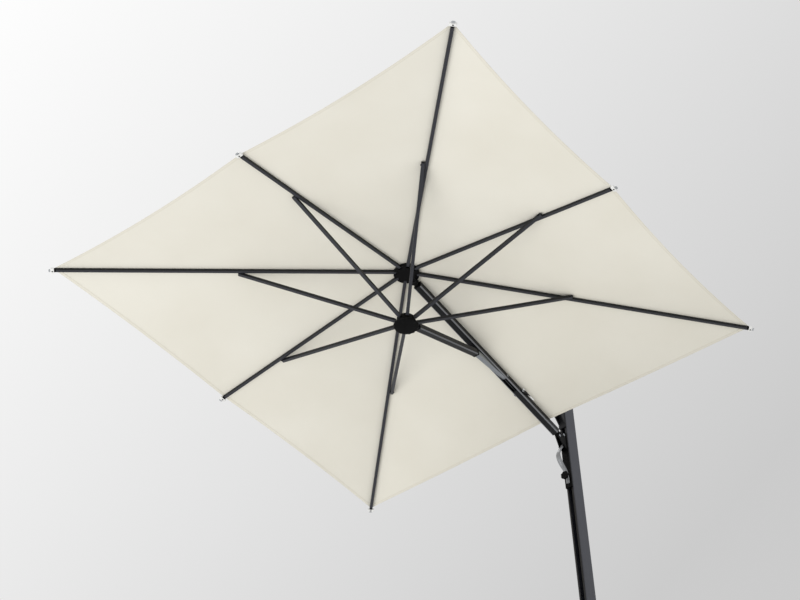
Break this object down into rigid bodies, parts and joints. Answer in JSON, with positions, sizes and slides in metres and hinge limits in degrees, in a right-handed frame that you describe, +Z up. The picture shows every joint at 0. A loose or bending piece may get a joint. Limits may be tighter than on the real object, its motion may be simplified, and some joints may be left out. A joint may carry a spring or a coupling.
{
  "type": "cantilever parasol",
  "caption": "Square cantilever parasol on a side mast: a boom and brace carry the hubs, ribs and struts of a cloth canopy that folds when the slider runs down.",
  "frame": {"origin": "on the ground, on the mast's axis", "axes": "+X from the mast to under the canopy, +Z up"},
  "size_m": [3.7614, 3.0488, 2.5183],
  "materials": {
    "cloth": "woven, matt cream",
    "coated_tube": "dark powder coat",
    "mast_tube": "grey powder coat",
    "black_plastic": "moulded",
    "bright_metal": "bright",
    "handle": "satin grey",
    "tip_plastic": "moulded",
    "ballast": "cast concrete",
    "base_steel": "dark powder coat"
  },
  "bodies": {
    "base": {"base_bar_long": "base_steel", "base_bar_cross": "base_steel", "pivot_plate": "base_steel", "ballast_slab_1": "ballast", "ballast_slab_2": "ballast", "ballast_slab_3": "ballast", "ballast_slab_4": "ballast"},
    "mast": {"mast_foot": "base_steel", "mast_tube": "mast_tube", "mast_cap": "black_plastic", "head_bracket": "coated_tube"},
    "pedal": {"lock_pedal": "black_plastic"},
    "stays": {"stay_left": "coated_tube", "stay_right": "coated_tube"},
    "boom": {"boom_tube": "coated_tube", "boom_yoke": "black_plastic", "boom_knuckle": "black_plastic", "stay_pin": "bright_metal", "link_pin": "bright_metal"},
    "slider": {"slider_carriage": "black_plastic", "slider_shoe": "black_plastic", "slider_pin": "bright_metal", "handle": "handle"},
    "knob": {"clamp_knob": "black_plastic"},
    "upper_hub": {"upper_hub": "black_plastic", "finial": "black_plastic"},
    "brace": {"brace_tube": "coated_tube", "brace_cap": "black_plastic", "crank_link": "bright_metal"},
    "lower_hub": {"lower_hub": "black_plastic", "hub_cover": "black_plastic"},
    "rib_1": {"rib_1": "coated_tube", "rib_tip_1": "tip_plastic", "canopy_panel_1": "cloth"},
    "strut_1": {"strut_1": "coated_tube"},
    "rib_2": {"rib_2": "coated_tube", "rib_tip_2": "tip_plastic", "canopy_panel_2": "cloth"},
    "strut_2": {"strut_2": "coated_tube"},
    "rib_3": {"rib_3": "coated_tube", "rib_tip_3": "tip_plastic", "canopy_panel_3": "cloth"},
    "strut_3": {"strut_3": "coated_tube"},
    "rib_4": {"rib_4": "coated_tube", "rib_tip_4": "tip_plastic", "canopy_panel_4": "cloth", "canopy_panel_5": "cloth"},
    "strut_4": {"strut_4": "coated_tube"},
    "rib_5": {"rib_5": "coated_tube", "rib_tip_5": "tip_plastic", "canopy_panel_6": "cloth"},
    "strut_5": {"strut_5": "coated_tube"},
    "rib_6": {"rib_6": "coated_tube", "rib_tip_6": "tip_plastic", "canopy_panel_7": "cloth"},
    "strut_6": {"strut_6": "coated_tube"},
    "rib_7": {"rib_7": "coated_tube", "rib_tip_7": "tip_plastic", "canopy_panel_8": "cloth"},
    "strut_7": {"strut_7": "coated_tube"}
  },
  "joints": [
    {"name": "mast_swivel", "type": "hinge", "parent": "base", "child": "mast", "pos_m": [0, 0, 0], "axis": [0, 0, 1], "continuous": true},
    {"name": "pedal_press", "type": "hinge", "parent": "mast", "child": "pedal", "pos_m": [0.095, 0, 0.1256], "axis": [0, 1, 0], "range_deg": [0, 15], "stiffness_Nm_per_rad": 4, "springref_deg": -17.19},
    {"name": "fold", "type": "hinge", "parent": "mast", "child": "stays", "pos_m": [0.123, 0, 2.284], "axis": [0, 1, 0], "range_deg": [0, 67], "deforming": ["canopy_panel_1", "canopy_panel_2", "canopy_panel_3", "canopy_panel_4", "canopy_panel_5", "canopy_panel_6", "canopy_panel_7", "canopy_panel_8"]},
    {"name": "boom_lift", "type": "hinge", "parent": "stays", "child": "boom", "pos_m": [0.56249, 0, 2.181], "axis": [0, 1, 0], "range_deg": [-134.5, 0]},
    {"name": "slider_run", "type": "hinge", "parent": "boom", "child": "slider", "pos_m": [0.123, 0, 2.078], "axis": [0, 1, 0], "range_deg": [0, 67.5]},
    {"name": "knob_turn", "type": "hinge", "parent": "slider", "child": "knob", "pos_m": [0.0698, 0, 1.768], "axis": [1, 0, 0], "continuous": true},
    {"name": "hub_tip", "type": "hinge", "parent": "boom", "child": "upper_hub", "pos_m": [1.64126, 0, 2.43382], "axis": [0, 1, 0], "range_deg": [0, 73.63]},
    {"name": "brace_swing", "type": "hinge", "parent": "boom", "child": "brace", "pos_m": [0.72022, 0, 2.21796], "axis": [0, 1, 0], "range_deg": [0, 142.44]},
    {"name": "lower_hub_tip", "type": "hinge", "parent": "brace", "child": "lower_hub", "pos_m": [1.66892, 0, 2.06792], "axis": [0, 1, 0], "range_deg": [-69.31, 0]},
    {"name": "rib_1_fold", "type": "hinge", "parent": "upper_hub", "child": "rib_1", "pos_m": [1.6754, -0.0495, 2.45316], "axis": [0.7051, -0.7071, 0.0533], "range_deg": [0, 75.63]},
    {"name": "rib_2_fold", "type": "hinge", "parent": "upper_hub", "child": "rib_2", "pos_m": [1.72476, -0.07, 2.45689], "axis": [0.9972, 0, 0.0754], "range_deg": [0, 75.13]},
    {"name": "rib_3_fold", "type": "hinge", "parent": "upper_hub", "child": "rib_3", "pos_m": [1.77412, -0.0495, 2.46063], "axis": [0.7051, 0.7071, 0.0533], "range_deg": [0, 75.63]},
    {"name": "rib_4_fold", "type": "hinge", "parent": "upper_hub", "child": "rib_4", "pos_m": [1.79456, 0, 2.46217], "axis": [0, 1, 0], "range_deg": [0, 75.13]},
    {"name": "rib_5_fold", "type": "hinge", "parent": "upper_hub", "child": "rib_5", "pos_m": [1.77412, 0.0495, 2.46063], "axis": [-0.7051, 0.7071, -0.0533], "range_deg": [0, 75.63]},
    {"name": "rib_6_fold", "type": "hinge", "parent": "upper_hub", "child": "rib_6", "pos_m": [1.72476, 0.07, 2.45689], "axis": [-0.9972, 0, -0.0754], "range_deg": [0, 75.13]},
    {"name": "rib_7_fold", "type": "hinge", "parent": "upper_hub", "child": "rib_7", "pos_m": [1.6754, 0.0495, 2.45316], "axis": [-0.7051, -0.7071, -0.0533], "range_deg": [0, 75.63]},
    {"name": "strut_1_swing", "type": "hinge", "parent": "rib_1", "child": "strut_1", "pos_m": [0.99924, -0.70424, 2.28973], "axis": [0.7051, -0.7071, 0.0533], "range_deg": [-140.44, 0]},
    {"name": "strut_2_swing", "type": "hinge", "parent": "rib_2", "child": "strut_2", "pos_m": [1.7141, -1.01725, 2.29949], "axis": [0.9972, 0, 0.0754], "range_deg": [-144.33, 0]},
    {"name": "strut_3_swing", "type": "hinge", "parent": "rib_3", "child": "strut_3", "pos_m": [2.43544, -0.73606, 2.39831], "axis": [0.7051, 0.7071, 0.0533], "range_deg": [-140.44, 0]},
    {"name": "strut_4_swing", "type": "hinge", "parent": "rib_4", "child": "strut_4", "pos_m": [2.75089, -0.0225, 2.37788], "axis": [0, 1, 0], "range_deg": [-144.33, 0]},
    {"name": "strut_5_swing", "type": "hinge", "parent": "rib_5", "child": "strut_5", "pos_m": [2.46717, 0.70424, 2.40071], "axis": [-0.7051, 0.7071, -0.0533], "range_deg": [-140.44, 0]},
    {"name": "strut_6_swing", "type": "hinge", "parent": "rib_6", "child": "strut_6", "pos_m": [1.75897, 1.01725, 2.30289], "axis": [-0.9972, 0, -0.0754], "range_deg": [-144.33, 0]},
    {"name": "strut_7_swing", "type": "hinge", "parent": "rib_7", "child": "strut_7", "pos_m": [1.03097, 0.73606, 2.29213], "axis": [-0.7051, -0.7071, -0.0533], "range_deg": [-140.44, 0]}
  ],
  "couplings": [
    {"joint": "boom_lift", "follows": "fold", "ratio": -2},
    {"joint": "slider_run", "follows": "fold", "ratio": 1},
    {"joint": "hub_tip", "follows": "fold", "ratio": 1.0915},
    {"joint": "brace_swing", "follows": "fold", "ratio": 2.1186},
    {"joint": "lower_hub_tip", "follows": "fold", "ratio": -1.027},
    {"joint": "rib_1_fold", "follows": "fold", "ratio": 1.1213},
    {"joint": "rib_2_fold", "follows": "fold", "ratio": 1.1139},
    {"joint": "rib_3_fold", "follows": "fold", "ratio": 1.1213},
    {"joint": "rib_4_fold", "follows": "fold", "ratio": 1.1139},
    {"joint": "rib_5_fold", "follows": "fold", "ratio": 1.1213},
    {"joint": "rib_6_fold", "follows": "fold", "ratio": 1.1139},
    {"joint": "rib_7_fold", "follows": "fold", "ratio": 1.1213},
    {"joint": "strut_1_swing", "follows": "fold", "ratio": -2.0886},
    {"joint": "strut_2_swing", "follows": "fold", "ratio": -2.1467},
    {"joint": "strut_3_swing", "follows": "fold", "ratio": -2.0886},
    {"joint": "strut_4_swing", "follows": "fold", "ratio": -2.1467},
    {"joint": "strut_5_swing", "follows": "fold", "ratio": -2.0886},
    {"joint": "strut_6_swing", "follows": "fold", "ratio": -2.1467},
    {"joint": "strut_7_swing", "follows": "fold", "ratio": -2.0886}
  ]
}
